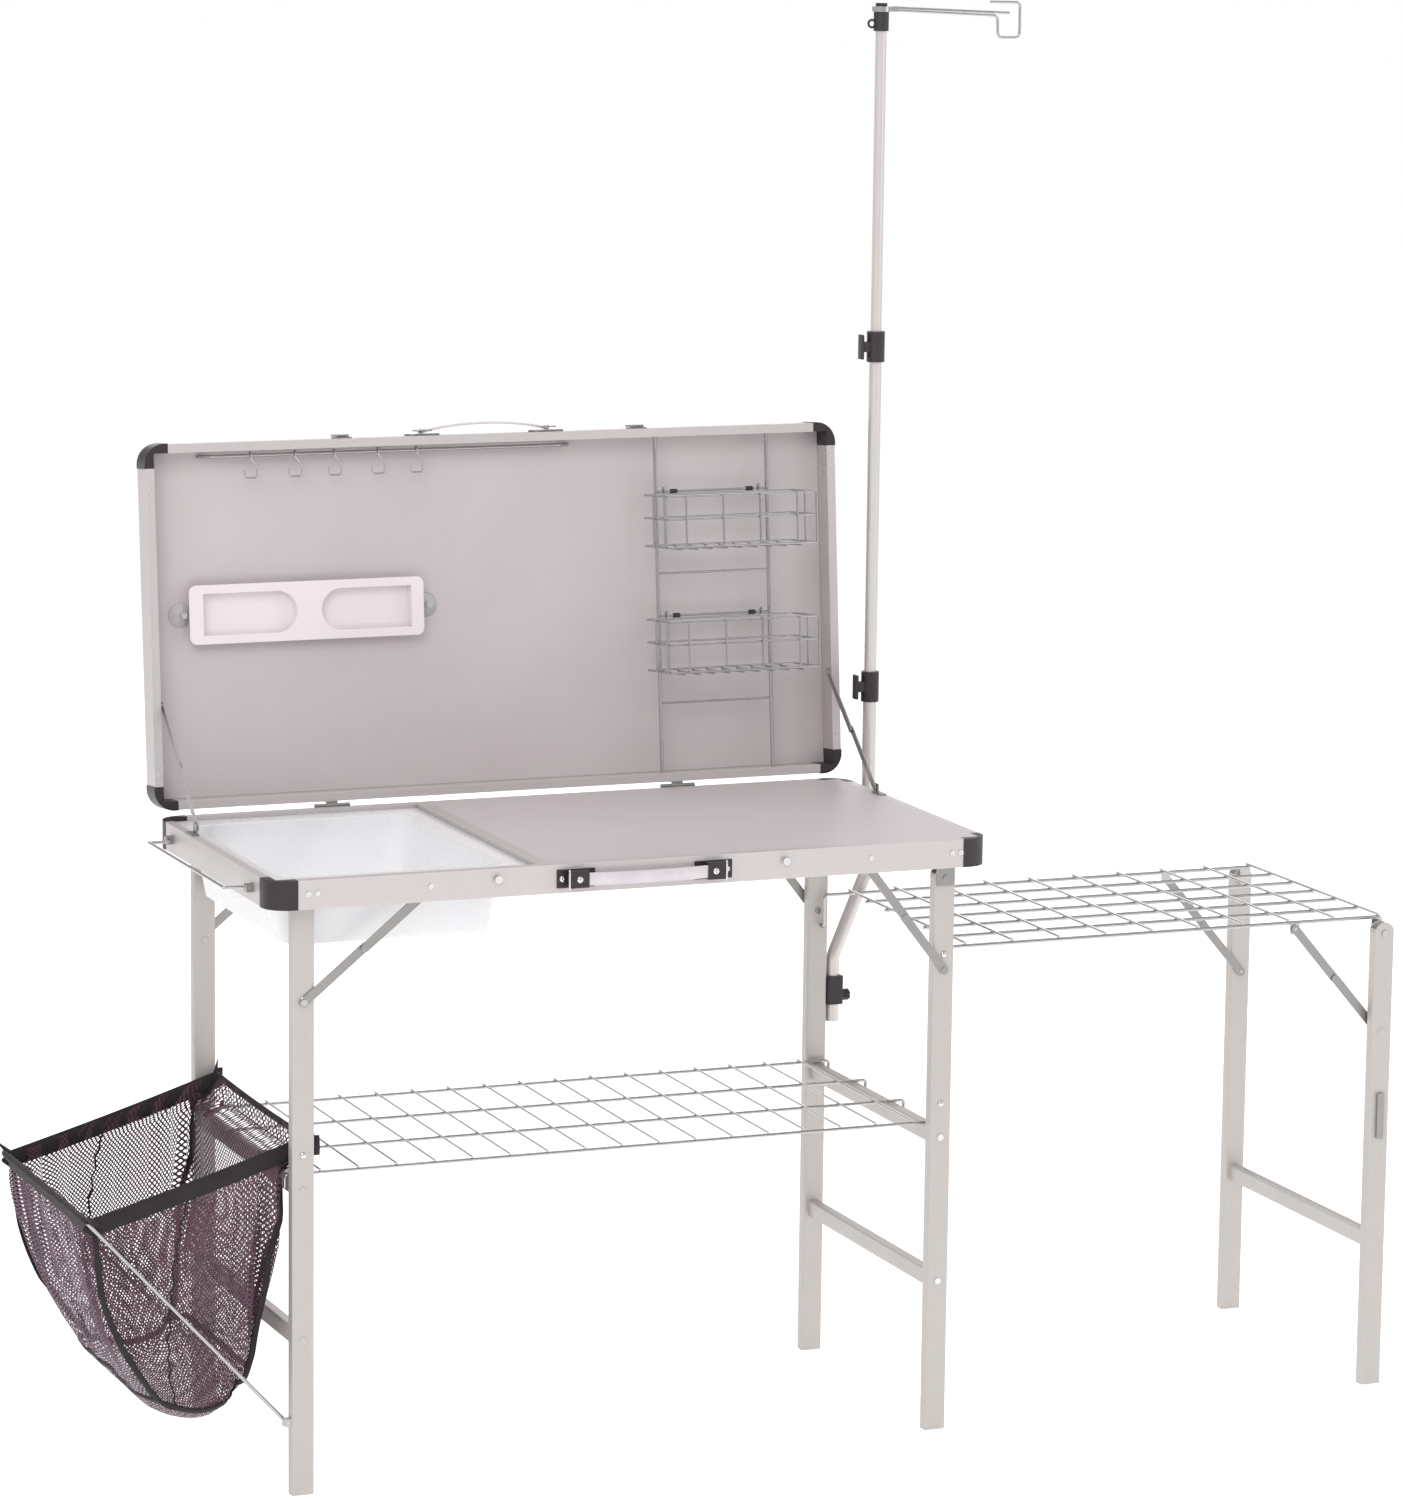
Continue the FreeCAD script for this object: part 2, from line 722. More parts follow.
def make_lid():
    """Lid frame of four rails and corner caps around a thin panel, leaning back when open."""
    long_x = half_length - lid_cap_reach
    w = (0.0, lid_depth)
    for u in ((lid_low, lid_low + rail_width), (lid_high - rail_width, lid_high)):
        add("lid_rails", lid_box((-long_x, long_x), w, u))
    side_u = (lid_low + lid_cap_reach, lid_high - lid_cap_reach)
    left = lid_box((-half_length, -inner_x), w, side_u)
    keyhole_w = lid_depth * 0.45
    through = (inner_x - 1, half_length + 1)
    slot_w = (keyhole_w - keyhole_slot / 2, keyhole_w + keyhole_slot / 2)
    slot = lid_box(through, slot_w, (keyhole_height, keyhole_height + keyhole_length))
    eye_ends = [(x, keyhole_w, keyhole_height) for x in through]
    eye = lid_rod(*eye_ends, keyhole_radius)
    right = lid_box((inner_x, half_length), w, side_u).cut(slot).cut(eye)
    add("lid_rails", left, right)
    flat_cap = corner_cap(0.0, lid_depth, lid_cap_reach, lid_cap_radius)
    for cap in four_corners(flat_cap):
        stood = cap.copy()
        stood.rotate(Vector(0, 0, 0), Vector(1, 0, 0), 90.0)
        stood.translate(Vector(0, axis_y + lid_depth, axis_z + lid_low + half_depth))
        add("lid_corner_caps", upright(stood))
    gap = panel_gap
    panel = lid_box(
        (-inner_x + gap, inner_x - gap),
        (lid_panel_front, lid_depth),
        (lid_low + rail_width + gap, lid_high - rail_width - gap),
    )
    add("lid_panel", panel)


# ---- stays: the upper link turns on the lid, the lower link on an ear on the end rail ----
stay_foot = (stay_foot_y, table_height + stay_pin_height)
stay_top = lid_point(0, stay_inset, stay_height)[1:]
stay_middle = ((stay_foot[0] + stay_top[0]) / 2, (stay_foot[1] + stay_top[1]) / 2)


def side_link(pivot, joint, x):
    """Flat link with round ends in a YZ plane, drilled at its pivot; both points are (y, z)."""
    a = Vector(x, pivot[0], pivot[1])
    b = Vector(x, joint[0], joint[1])
    side = (b - a).normalize().cross(Vector(1, 0, 0)) * stay_half_width
    outline = Part.makePolygon([a + side, b + side, b - side, a - side, a + side])
    body = Part.Face(outline).extrude(Vector(stay_thick, 0, 0))
    for centre in (a, b):
        body = body.fuse(Part.makeCylinder(stay_half_width, stay_thick, centre, Vector(1, 0, 0)))
    hole = Part.makeCylinder(pin_radius + running_gap, stay_thick, a, Vector(1, 0, 0))
    return body.cut(hole).removeSplitter()


def make_stays():
    """Folding lid stays at both ends."""
    lower_x = inner_x - 0.3 - stay_thick
    upper_x = lower_x - link_gap - stay_thick
    lower = side_link(stay_foot, stay_middle, lower_x)
    upper = side_link(stay_top, stay_middle, upper_x)
    head = rod((upper_x - head_thick, *stay_middle), (upper_x, *stay_middle), stay_head_radius)
    add("stay_lower_links", *left_right(lower))
    add("stay_upper_links", *left_right(upper.fuse(head).removeSplitter()))
    lid_pin = rod((upper_x - 0.2, *stay_top), (inner_x, *stay_top), pin_radius)
    add("lid_rails", *left_right(lid_pin))
    plate = box(
        (inner_x + 0.5, half_length - 1.0),
        (stay_foot_y - ear_foot_half, stay_foot_y + ear_foot_half),
        (table_height, table_height + ear_thick),
    )
    ear = box(
        (inner_x + 0.5, inner_x + 0.5 + ear_thick),
        (stay_foot_y - ear_half, stay_foot_y + ear_half),
        (table_height, table_height + stay_pin_height + 6.0),
    )
    foot_pin = rod((lower_x - 0.2, *stay_foot), (inner_x + 1.0, *stay_foot), pin_radius)
    add("end_rail_brackets", *left_right(plate.fuse(ear).fuse(foot_pin).removeSplitter()))


rod_u = lid_high - rail_width - rod_below_rail
rod_place = lid_point(0, rod_from_rim, rod_u)


def make_hanging_rod():
    """Hanging rod under the lid's top rail, its ends stepped back to the panel."""
    slant = math.hypot(rod_step, lid_panel_front - rod_from_rim)
    back = lid_panel_front - rod_radius * rod_step / slant
    points = [
        on_lid(rod_left - rod_step, back, rod_u),
        on_lid(rod_left, rod_from_rim, rod_u),
        on_lid(rod_right, rod_from_rim, rod_u),
        on_lid(rod_right + rod_step, back, rod_u),
    ]
    add("hanging_rod", upright(bent_wire(points, rod_radius, rod_bend)))


def make_s_hook(number, x):
    """Hook that hangs plumb from the rod: a crook over the rod and a wide crook below."""
    y, z = rod_place[1:]
    ring = rod_radius + part_gap + s_hook_radius
    points = [
        (x, y + ring, z - s_hook_neck),
        (x, y + ring, z + ring),
        (x, y - ring, z + ring),
        (x, y - ring, z - 4.0),
        (x + s_hook_half, y - ring, z - s_hook_turn),
        (x + s_hook_half, y - ring, z - s_hook_foot),
        (x - s_hook_half, y - ring, z - s_hook_foot),
        (x - s_hook_half, y - ring, z - s_hook_tip),
    ]
    add("s_hook_%d" % number, bent_wire(points, s_hook_radius, ring - 0.05))


def make_ladder():
    """Wire ladder between the lid's bottom and top rails."""
    low = lid_low + rail_width
    high = lid_high - rail_width
    for x in (ladder_left, ladder_right):
        add("ladder", lid_rod((x, ladder_from_rim, low), (x, ladder_from_rim, high), ladder_radius))
    start = ladder_left + ladder_radius
    end = ladder_right - ladder_radius
    for u in rung_heights:
        add("ladder", lid_rod((start, ladder_from_rim, u), (end, ladder_from_rim, u), rung_radius))


def make_basket(name, rung_u):
    """Open wire basket that hooks over a ladder rung: three rails, uprights and a wire floor."""
    r = basket_wire
    back = ladder_from_rim - ladder_radius - r - 0.4
    front = back - basket_depth
    left = basket_left
    right = basket_left + basket_length
    top = rung_u - basket_top_gap
    low = top - basket_height
    for u in (top, top - basket_height * basket_middle_share, low):
        for w in (back, front):
            add(name, lid_rod((left, w, u), (right, w, u), r))
        for x in (left, right):
            add(name, lid_rod((x, back - r, u), (x, front + r, u), r))
    for k in range(basket_uprights):
        x = left + (right - left) * (k + 0.5) / basket_uprights
        add(name, lid_rod((x, front - 2 * r, low), (x, front - 2 * r, top), r))
    for w in (back - basket_depth * 0.5, front + r):
        for x in (left - 2 * r, right + 2 * r):
            add(name, lid_rod((x, w, low), (x, w, top), r))
    for k in range(basket_floor_wires):
        x = left + (right - left) * (k + 1) / (basket_floor_wires + 1)
        add(name, lid_rod((x, back, low - 2 * r), (x, front, low - 2 * r), r))
    for x in (ladder_left + basket_hook_inset, ladder_right - basket_hook_inset):
        reach = rung_radius + 0.4 + r
        points = [
            on_lid(x, back, low + r),
            on_lid(x, back, rung_u + reach + r),
            on_lid(x, ladder_from_rim + reach, rung_u + reach + r),
            on_lid(x, ladder_from_rim + reach, rung_u - 3.0),
        ]
        add(name, upright(bent_wire(points, r, 2.0)))


def recess_outline(left, right, low, high, w, round_right):
    """Recess outline with one end rounded as a half circle, in the lid's plane."""
    radius = (high - low) / 2
    middle = (low + high) / 2
    square = left if round_right else right
    centre = right - radius if round_right else left + radius
    tip = right if round_right else left
    a = Vector(*on_lid(square, w, low))
    b = Vector(*on_lid(centre, w, low))
    c = Vector(*on_lid(tip, w, middle))
    d = Vector(*on_lid(centre, w, high))
    e = Vector(*on_lid(square, w, high))
    edges = [
        Part.LineSegment(a, b).toShape(),
        Part.Arc(b, c, d).toShape(),
        Part.LineSegment(d, e).toShape(),
        Part.LineSegment(e, a).toShape(),
    ]
    return Part.Face(Part.Wire(edges))


def make_tray():
    """Soap tray with two round-ended recesses, held on the panel by two suction cups."""
    back = lid_panel_front - tray_from_panel
    front = back - tray_recess - tray_thick
    low = tray_low
    high = tray_low + tray_width
    right = tray_left + tray_length
    plate_y = (axis_y + front, axis_y + front + tray_thick)
    plate = box((tray_left, right), plate_y, (axis_z + low, axis_z + high))
    edges = [e for e in plate.Edges if abs(e.Vertexes[0].Y - e.Vertexes[1].Y) > 1.0]
    body = plate.makeFillet(tray_corner, edges)
    margin = tray_margin
    recess = [[tray_left + end for end in ends] for ends in (tray_left_recess, tray_right_recess)]
    for (x0, x1), round_right in zip(recess, (True, False)):
        outer = recess_outline(x0 - 2, x1 + 2, low + margin - 2, high - margin + 2, front, round_right)
        body = body.fuse(outer.extrude(Vector(0, tray_thick + tray_recess, 0)))
    for (x0, x1), round_right in zip(recess, (True, False)):
        inner = recess_outline(x0, x1, low + margin, high - margin, front - 1, round_right)
        body = body.cut(inner.extrude(Vector(0, tray_recess + 2.0, 0)))
    add("soap_tray", upright(body.removeSplitter()))
    middle = (low + high) / 2
    for x in (tray_left - cup_offset, right + cup_offset):
        foot = Vector(*on_lid(x, lid_panel_front, middle))
        dome = Part.makeCone(cup_radius, cup_neck_radius, cup_height, foot, Vector(0, -1, 0))
        stem_ends = [on_lid(x, w, middle) for w in (lid_panel_front - cup_height, front - tray_thick)]
        stem = rod(*stem_ends, cup_stem_radius)
        cup = dome.fuse(stem).cut(body)
        add("suction_cups", upright(cup.removeSplitter()))


def make_front_fittings():
    """Carry handle on the front rail, handle and latches on the lid's free edge, towel bail."""
    y = -half_depth
    mid_z = rail_bottom + rail_height / 2
    z = (mid_z - handle_plate_height / 2, mid_z + handle_plate_height / 2)
    for x0, x1 in (
        (handle_left, handle_left + handle_plate_length),
        (handle_right - handle_plate_length, handle_right),
    ):
        face = y - handle_plate_thick
        plate = box((x0, x1), (face, y), z)
        left = x0 + keeper_margins[0]
        right = x1 - keeper_margins[1]
        keeper_y = (face - strap_gap - strap_thick, face)
        keeper = box((left, right), keeper_y, (z[0] + 1.0, z[1] - 1.0))
        slot_y = (y - strap_gap - strap_thick, y - strap_gap)
        slot = box((left - 1.0, right + 1.0), slot_y, (z[0] + strap_inset, z[1] - strap_inset))
        hollow = box((left + 2.0, right - 2.0), (y - strap_gap + 1.0, face), (z[0] + 3.0, z[1] - 3.0))
        add("handle_brackets", plate.fuse(keeper).cut(slot).cut(hollow).removeSplitter())
    strap = box(
        (handle_left + keeper_margins[0] + 4.0, handle_right - keeper_margins[0] - 4.0),
        (y - strap_gap - strap_thick + strap_play, y - strap_gap - strap_play),
        (z[0] + strap_inset + strap_play, z[1] - strap_inset - strap_play),
    )
    add("handle_strap", strap)
    mid_w = lid_depth / 2
    foot = lid_high + lid_plate_thick
    plate_w = (mid_w - lid_plate_half, mid_w + lid_plate_half)
    for x0 in (lid_handle_left, lid_handle_right - lid_plate_length):
        add("lid_handle", lid_box((x0, x0 + lid_plate_length), plate_w, (lid_high, foot)))
    left = lid_handle_left + lid_strap_inset
    right = lid_handle_right - lid_strap_inset
    strap_w = mid_w - lid_strap_half
    low = Part.Arc(
        Vector(*on_lid(left, strap_w, foot)),
        Vector(*on_lid((left + right) / 2, strap_w, foot + lid_strap_rise)),
        Vector(*on_lid(right, strap_w, foot)),
    ).toShape()
    strip = low.extrude(Vector(0, 2 * lid_strap_half, 0)).extrude(Vector(0, 0, lid_strap_thick))
    add("lid_handle", upright(strip))
    for x in latch_places:
        base_u = (lid_high, lid_high + latch_base_thick)
        base = lid_box((x - latch_half, x + latch_half), latch_base_w, base_u)
        add("latch_bases", base)
        tongue_u = (base_u[1] + part_gap, base_u[1] + 3.0)
        tongue_w = (latch_pin_w, latch_pin_w + tongue_length)
        tongue = lid_box((x - tongue_half, x + tongue_half), tongue_w, tongue_u)
        barrel_u = base_u[1] + 2.0
        barrel_ends = [(end, latch_pin_w, barrel_u) for end in (x - tongue_half, x + tongue_half)]
        barrel = lid_rod(*barrel_ends, latch_pin_radius)
        add("lid_latches", tongue.fuse(barrel).removeSplitter())
    x = -half_length
    z = mid_z
    eye_x = x - bail_eye
    for side in (-1, 1):
        y = side * bail_half
        half = bail_clip / 2
        clip = box((x - bail_eye - 4.0, x), (y - half, y + half), (z - 5.0, z + 5.0))
        clip = clip.cut(rod((eye_x, y - bail_clip, z), (eye_x, y + bail_clip, z), bail_wire + running_gap))
        add("end_rail_brackets", clip)
        inward = y - side * bail_clip
        points = [(eye_x, y + side * (half - 1.0), z), (eye_x, inward, z), (eye_x - bail_reach, inward, z)]
        add("towel_bail", bent_wire(points, bail_wire, bail_bend))
    reach_y = bail_half - bail_clip
    bar_x = eye_x - bail_reach - bail_wire
    add("towel_bail", rod((bar_x, -reach_y - bail_wire, z), (bar_x, reach_y + bail_wire, z), bail_wire))


def make_shelf():
    """Wire shelf that hooks over the upper cross bars."""
    reach = leg_x + bar_half_diagonal + shelf_clearance + shelf_wire
    bend = 5.0
    for k in range(shelf_long_wires):
        y = -shelf_y + 2 * shelf_y * k / (shelf_long_wires - 1)
        run = reach - bend - 4.0
        add("shelf", rod((-run, y, shelf_z), (run, y, shelf_z), shelf_wire))
        for side in (-1, 1):
            start = (side * run, y, shelf_z)
            corner = (side * reach, y, shelf_z)
            tip = (side * reach, y, shelf_z - shelf_tip_drop)
            add("shelf", bent_wire([start, corner, tip], shelf_wire, bend))
    cross_z = shelf_z + shelf_wire + shelf_cross_wire
    half_y = shelf_y + shelf_wire
    for k in range(shelf_cross_wires):
        x = (k - (shelf_cross_wires - 1) / 2) * shelf_pitch
        add("shelf", rod((x, -half_y, cross_z), (x, half_y, cross_z), shelf_cross_wire))


rack_rivet = (rack_leg_x, rack_pivot_z - rack_brace_drop)
rack_anchor = (rack_leg_x - rack_brace_reach, rack_height - rack_wire - 4.0 - link_half_width + 4.5)
rack_middle = ((rack_rivet[0] + rack_anchor[0]) / 2, (rack_rivet[1] + rack_anchor[1]) / 2)
rack_hook_x = leg_x + 5.0
tab_plane = rack_y + rack_wire
rack_upper_plane = tab_plane + rack_tab_thick + rack_link_gap
rack_lower_plane = rack_upper_plane + rack_link_thick + rack_link_gap


def make_rack():
    """Hook-on wire rack with its own folding leg frame, braces and spring clip."""
    right = rack_leg_x + 6.0
    for k in range(rack_long_wires):
        y = -rack_y + 2 * rack_y * k / (rack_long_wires - 1)
        left = rack_left - 3.0
        if k in (0, rack_long_wires - 1):
            left = rack_hook_x + 14.0
        add("rack_grid", rod((left, y, rack_height), (right, y, rack_height), rack_wire))
    hook = bent_wire(
        [
            (rack_hook_x + 14.0, rack_y, rack_height),
            (rack_hook_x, rack_y, rack_height),
            (rack_hook_x, rack_y, rack_hook_height),
            (rack_hook_x, leg_inner_y + leg_wall + 2.0, rack_hook_height),
        ],
        rack_wire,
        5.0,
    )
    add("rack_grid", *front_back(hook))
    cross_z = rack_height + rack_wire + rack_cross_wire
    for k in range(rack_cross_wires):
        x = rack_left + (right - 4.0 - rack_left) * k / (rack_cross_wires - 1)
        half_y = rack_y + rack_wire
        add("rack_grid", rod((x, -half_y, cross_z), (x, half_y, cross_z), rack_cross_wire))
    tab_y = (tab_plane, tab_plane + rack_tab_thick)
    tab_x = (rack_leg_x - rack_tab_half, rack_leg_x + rack_tab_half)
    leg_tab = box(tab_x, tab_y, (rack_pivot_z - rack_tab_half, rack_height))
    head_y = leg_outer_y + 0.3
    pin_ends = [(rack_leg_x, y, rack_pivot_z) for y in (tab_plane, head_y)]
    leg_pin = rod(*pin_ends, pin_radius)
    head_ends = [(rack_leg_x, y, rack_pivot_z) for y in (head_y, head_y + head_thick)]
    leg_head = rod(*head_ends, head_radius)
    add("rack_grid", *front_back(leg_tab.fuse(leg_pin).fuse(leg_head).removeSplitter()))
    ax, az = rack_anchor
    anchor_x = (ax - anchor_tab_half, ax + anchor_tab_half)
    anchor_tab = box(anchor_x, tab_y, (az - anchor_tab_half, rack_height))
    anchor_pin = rod((ax, tab_plane, az), (ax, rack_upper_plane + rack_link_thick + 0.2, az), pin_radius)
    add("rack_grid", *front_back(anchor_tab.fuse(anchor_pin).removeSplitter()))
    hole = pin_radius + running_gap
    upper = link(rack_anchor, rack_middle, rack_upper_plane, rack_link_thick, link_half_width, hole)
    lower = link(rack_rivet, rack_middle, rack_lower_plane, rack_link_thick, link_half_width, hole)
    joint_ends = [(rack_middle[0], y, rack_middle[1]) for y in (rack_upper_plane - 1.0, rack_upper_plane)]
    upper = upper.fuse(rod(*joint_ends, head_radius)).removeSplitter()
    add("rack_brace_upper", *front_back(upper))
    add("rack_brace_lower", *front_back(lower))
    leg_holes = (rack_pivot_z, rack_rivet[1])
    tube, plug = leg_tube(rack_leg_x, rack_pivot_z + leg_width / 2, rack_pivot_z, leg_holes)
    rivet = rod(
        (rack_rivet[0], rack_lower_plane - 0.2, rack_rivet[1]),
        (rack_rivet[0], leg_outer_y, rack_rivet[1]),
        pin_radius,
    )
    head_ends = [(rack_rivet[0], y, rack_rivet[1]) for y in (leg_outer_y, leg_outer_y + head_thick)]
    head = rod(*head_ends, head_radius)
    for solid in (tube, plug, rivet.fuse(head)):
        add("rack_legs", *front_back(solid))
    add("rack_legs", cross_bar(rack_leg_x, rack_bar_height))
    clip_low = rack_clip_height - rack_clip_length / 2
    clip_y = (-leg_outer_y - 2 * rack_clip_thick, -leg_outer_y - rack_clip_thick)
    half = link_half_width - 1.0
    clip = box((rack_leg_x - half, rack_leg_x + half), clip_y, (clip_low, clip_low + rack_clip_length))
    foot_ends = [(rack_leg_x, y, clip_low + half) for y in (clip_y[0], -leg_outer_y - rack_link_gap)]
    foot = rod(*foot_ends, half)
    add("rack_clip", clip.fuse(foot).removeSplitter())


def hollow_round(x, y, z0, z1, outer, inner):
    """Upright round tube."""
    tube = rod((x, y, z0), (x, y, z1), outer)
    return tube.cut(rod((x, y, z0 - 1), (x, y, z1 + 1), inner))


def make_collar(number, z, tube_radius, tube_inner):
    """Clamp collar around the mouth of a tube, and its cam lever."""
    name = ("lower", "upper")[number]
    body = hollow_round(pole_x, pole_y, z, z + collar_height, collar_radius, tube_radius)
    ear_x = (pole_x - collar_radius - collar_ear_reach, pole_x - collar_radius + 1.5)
    ear_y = (pole_y - collar_ear_half, pole_y + collar_ear_half)
    ear = box(ear_x, ear_y, (z + collar_ear[0], z + collar_ear[1]))
    bore = rod((pole_x, pole_y, z - 1), (pole_x, pole_y, z + collar_height + 1), tube_radius)
    body = body.fuse(ear).cut(bore)
    seal_z = (z + collar_height - 4.0, z + collar_height)
    seal = hollow_round(pole_x, pole_y, *seal_z, tube_radius + 0.5, tube_inner)
    add(name + "_collar", body.fuse(seal).removeSplitter())
    lever_x = pole_x - collar_radius - collar_ear_reach - lever_gap
    lever = box((lever_x - lever_thick, lever_x), ear_y, (z + lever_span[0], z + lever_span[1]))
    knuckle_ends = [(lever_x - lever_thick / 2, y, z + lever_span[1]) for y in ear_y]
    knuckle = rod(*knuckle_ends, lever_thick / 2)
    add(name + "_lever", lever.fuse(knuckle).removeSplitter())


def make_pole():
    """Cranked lower tube in a clamp on the leg, two sliding tubes, collars, cap and hook arm."""
    path = [
        (pole_foot_x, pole_y, pole_foot),
        (pole_foot_x, pole_y, pole_bend_low),
        (pole_x, pole_y, pole_bend_high),
        (pole_x, pole_y, lower_collar_z + collar_height - 4.0),
    ]
    outer = bent_wire(path, pole_lower_radius, pole_bend)
    inner = bent_wire(path, pole_lower_radius - pole_wall, pole_bend)
    add("pole_lower", outer.cut(inner))
    middle_top = upper_collar_z + collar_height - 4.0
    middle_bore = pole_middle_radius - pole_wall
    add("pole_middle", hollow_round(pole_x, pole_y, middle_end, middle_top, pole_middle_radius, middle_bore))
    neck_z = cap_bottom + cap_height - cap_neck_height
    top_mouth = neck_z + cap_crown_height
    top_bore = pole_top_radius - pole_wall
    add("pole_top", hollow_round(pole_x, pole_y, top_end, top_mouth, pole_top_radius, top_bore))
    make_collar(0, lower_collar_z, pole_lower_radius, pole_middle_radius + running_gap)
    make_collar(1, upper_collar_z, pole_middle_radius, pole_top_radius + running_gap)
    cap = rod((pole_x, pole_y, cap_bottom), (pole_x, pole_y, neck_z), pole_cap_radius)
    socket_ends = [(pole_x, pole_y, z) for z in (cap_bottom, top_mouth)]
    cap = cap.cut(rod(*socket_ends, pole_top_radius))
    crown_z = cap_bottom + cap_height
    crown_ends = [(pole_x, pole_y, z) for z in (crown_z - cap_crown_height, crown_z)]
    crown = rod(*crown_ends, cap_crown_radius)
    neck = hollow_round(pole_x, pole_y, neck_z, neck_z + yoke_height, cap_neck_radius, pole_top_radius)
    loop_middle = Vector(pole_x - cap_loop_offset[0], pole_y, cap_bottom + cap_loop_offset[1])
    loop = Part.makeTorus(cap_loop_radius, cap_loop_wire, loop_middle, Vector(0, 1, 0))
    add("pole_cap", cap.fuse(neck).fuse(crown).fuse(loop).removeSplitter())
    yoke_z = (neck_z + part_gap, neck_z + yoke_height - part_gap)
    yoke = hollow_round(pole_x, pole_y, *yoke_z, yoke_radius, yoke_bore)
    start = pole_x + arm_start
    z_high = yoke_z[1] - arm_wire - 0.2
    z_low = yoke_z[0] + arm_wire
    lug_x = (pole_x + cap_neck_radius + 1.1, pole_x + lug_length)
    lug = box(lug_x, (pole_y - lug_half, pole_y + lug_half), yoke_z)
    lug = lug.cut(rod((pole_x, pole_y, neck_z), (pole_x, pole_y, neck_z + yoke_height + 1), yoke_bore))
    end = pole_x + arm_reach
    low_y = pole_y - arm_wire_offset
    hook = [
        (start, low_y, z_low),
        (end - hook_steps[0][0], low_y, z_low - hook_steps[0][1]),
        (end - hook_steps[1][0], low_y, z_low - hook_steps[1][1]),
        (end, low_y, z_low - hook_depth),
        (end, low_y, z_low + hook_return[1]),
        (end - hook_return[0], low_y, z_low + hook_return[2]),
    ]
    lower_wire = bent_wire(hook, arm_wire, hook_bend)
    high_y = pole_y + arm_wire_offset
    high_end = (end - arm_top_inset, high_y, z_high - yoke_height)
    upper_wire = rod((start, high_y, z_high), high_end, arm_wire)
    add("hook_arm", yoke.fuse(lug).removeSplitter(), lower_wire.cut(lug), upper_wire.cut(lug))


def make_pole_clamp():
    """Clamp block on the rear right leg with its knob."""
    z = (clamp_bottom, clamp_bottom + clamp_height)
    half = pole_lower_radius + clamp_wall
    block = rounded_prism((leg_outer_x, pole_foot_x + half), (pole_y - half, pole_y + half), z, 4.0)
    bore_ends = [(pole_foot_x, pole_y, end) for end in (z[0] - 1, z[1] + 1)]
    block = block.cut(rod(*bore_ends, pole_lower_radius + running_gap))
    knob_z = clamp_bottom + knob_rise
    face_x = pole_foot_x + half
    add("pole_clamp", block)
    knob = rod((face_x + part_gap, pole_y, knob_z), (face_x + knob_length, pole_y, knob_z), knob_radius)
    for k in range(knob_grooves):
        angle = 2 * math.pi * k / knob_grooves
        y = pole_y + (knob_radius + 1.0) * math.cos(angle)
        groove_z = knob_z + (knob_radius + 1.0) * math.sin(angle)
        knob = knob.cut(rod((face_x, y, groove_z), (face_x + knob_length + 1, y, groove_z), groove_radius))
    add("clamp_knob", knob)


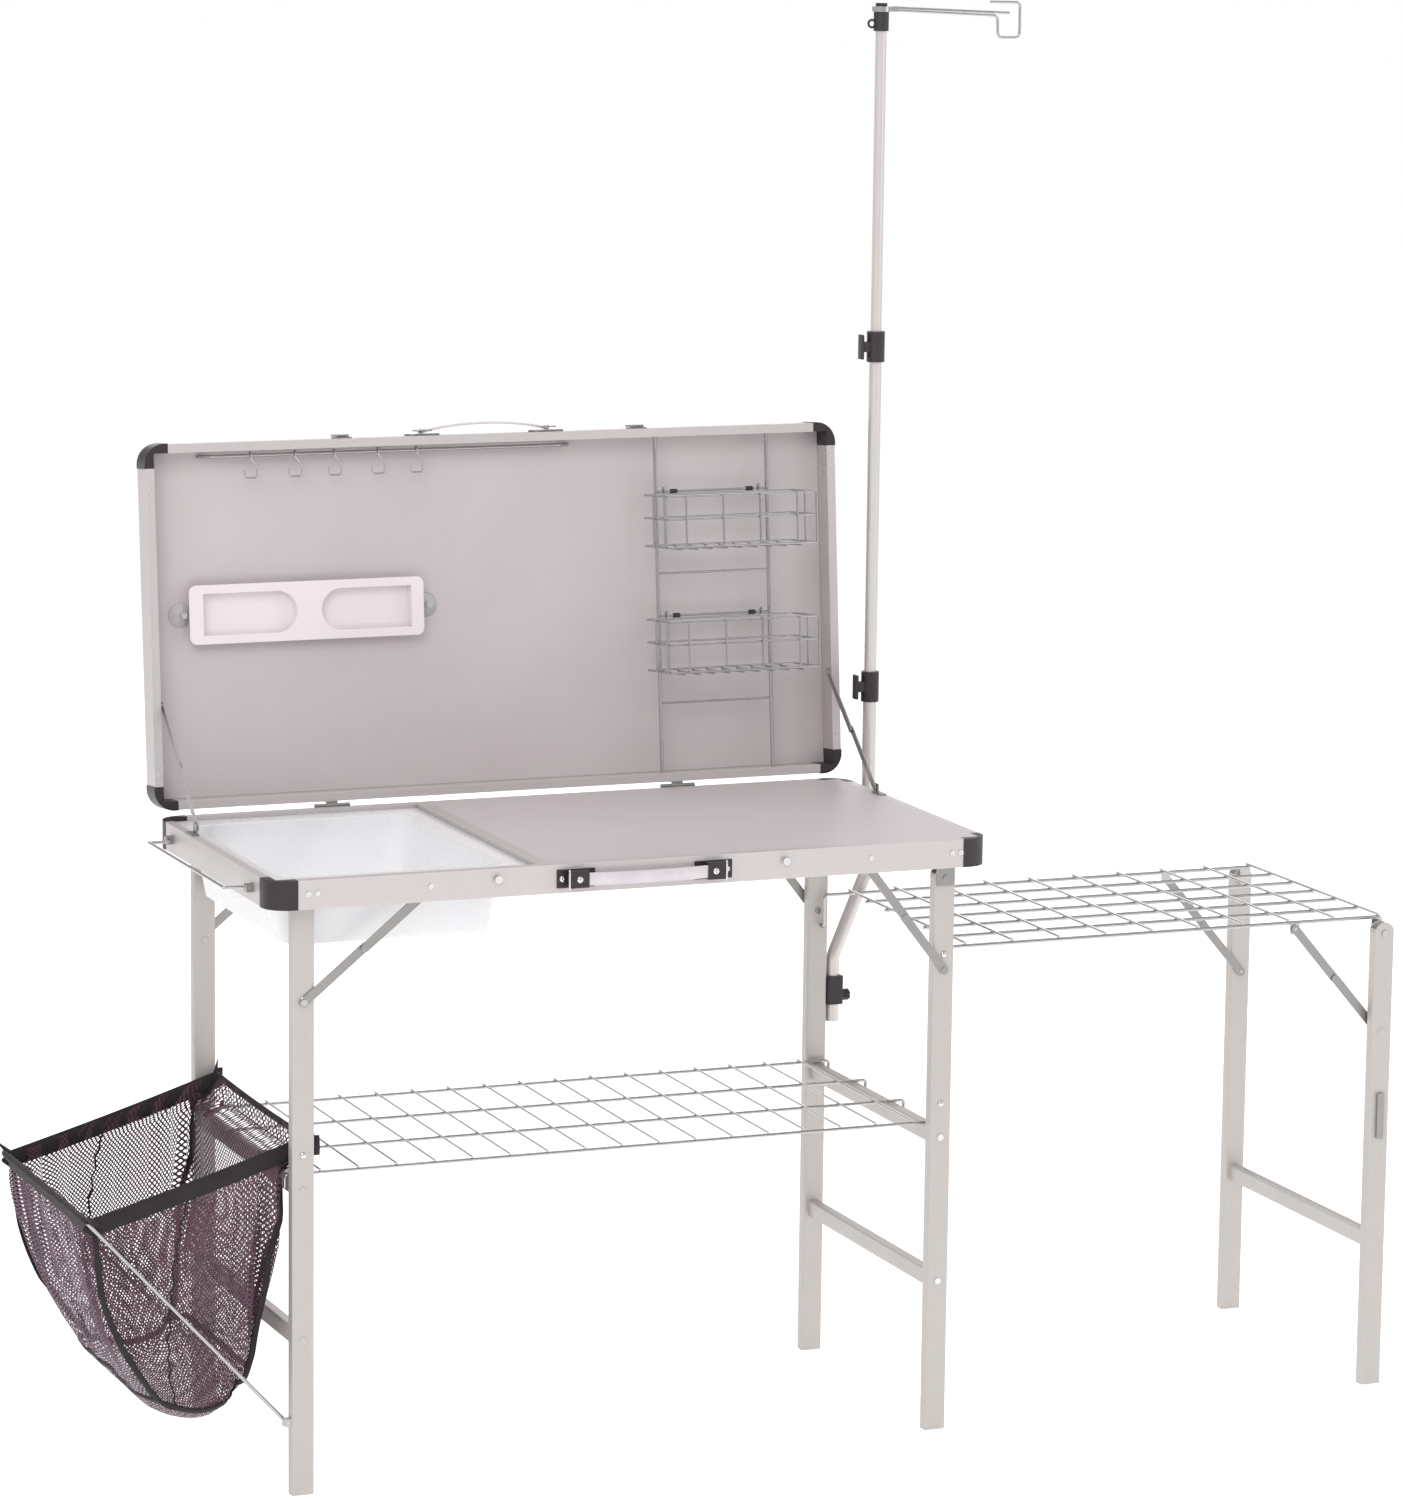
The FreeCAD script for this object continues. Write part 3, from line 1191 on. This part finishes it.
def make_bag():
    """Wire frame hinged on the left legs, and the bag as a thin open shell between the legs."""
    foot_x = bag_pivot_x
    top_y = leg_inner_y - 2.0
    top = (bag_outer_x, top_y, bag_bar_height)
    start = (foot_x, leg_y - bag_arm_start, bag_pivot_height)
    pin = rod(start, (foot_x, leg_y + bag_arm_end, bag_pivot_height), bag_wire)
    diagonal = rod(start, top, bag_wire)
    elbow = Part.makeSphere(bag_wire, Vector(*start))
    arm = pin.fuse(elbow).fuse(diagonal).removeSplitter()
    add("bag_frame", *front_back(arm))
    bar_end = top_y - bag_wire
    bar = rod((bag_outer_x, -bar_end, bag_bar_height), (bag_outer_x, bar_end, bag_bar_height), bag_wire)
    add("bag_frame", bar)
    outer_x = bag_outer_x + bag_wire + bag_from_bar
    wall_x = -leg_x - bar_half_diagonal - 2 * shelf_wire - bag_from_shelf
    hem_x = -leg_x + leg_width / 2 - 1.0
    hem_low = shelf_z + bag_hem_rise
    middle_x = (outer_x + wall_x) / 2

    def profile(grow):
        """Bag section in XZ: a deep rounded pouch, shrunk by grow on each wall."""
        a = Vector(outer_x + grow, -bag_half, bag_bar_height - 2.0)
        b = Vector(outer_x + bag_belly_shift + grow, -bag_half, bag_bottom + bag_outer_rise)
        c = Vector(middle_x + bag_belly_shift, -bag_half, bag_bottom + grow)
        d = Vector(wall_x - grow, -bag_half, bag_bottom + bag_inner_rise)
        e = Vector(wall_x - grow, -bag_half, shelf_z + bag_shoulder_rise)
        f = Vector(hem_x - grow, -bag_half, hem_low)
        g = Vector(hem_x - grow, -bag_half, bag_rim_inner)
        edges = [
            Part.LineSegment(a, b).toShape(),
            Part.Arc(b, c, d).toShape(),
            Part.LineSegment(d, e).toShape(),
            Part.LineSegment(e, f).toShape(),
            Part.LineSegment(f, g).toShape(),
            Part.LineSegment(g, a).toShape(),
        ]
        return Part.Face(Part.Wire(edges))

    solid = profile(0.0).extrude(Vector(0, 2 * bag_half, 0))
    hollow = profile(bag_wall).extrude(Vector(0, 2 * (bag_half - bag_wall), 0))
    hollow.translate(Vector(0, bag_wall, 0))
    raised = hollow.copy()
    raised.translate(Vector(0, 0, 2 * bag_wall))
    add("mesh_bag", solid.cut(hollow).cut(raised).removeSplitter())


make_table_frame()
make_basin()
make_legs()
make_braces()
make_rail_hardware()
make_hinges()
make_lid()
make_stays()
make_hanging_rod()
for number, place in enumerate(s_hook_places, 1):
    make_s_hook(number, place)
make_ladder()
make_basket("basket_lower", rung_heights[basket_rungs[0]])
make_basket("basket_upper", rung_heights[basket_rungs[1]])
make_tray()
make_front_fittings()
make_shelf()
make_rack()
make_pole()
make_pole_clamp()
make_bag()

# ---- the finished model stands with the middle of its box over the origin ----
whole = Part.makeCompound([solid for solids in nodes.values() for solid in solids])
limits = whole.optimalBoundingBox(False, False)
shift = Vector(-(limits.XMin + limits.XMax) / 2, -(limits.YMin + limits.YMax) / 2, -limits.ZMin)
os.makedirs("parts", exist_ok=True)
for name, solids in nodes.items():
    node = Part.makeCompound(solids)
    node.translate(shift)
    node.exportStep("parts/%s.step" % name)
print("nodes", len(nodes), "shift", shift.x, shift.y, shift.z)
print("box", limits.XMin, limits.XMax, limits.YMin, limits.YMax, limits.ZMin, limits.ZMax)
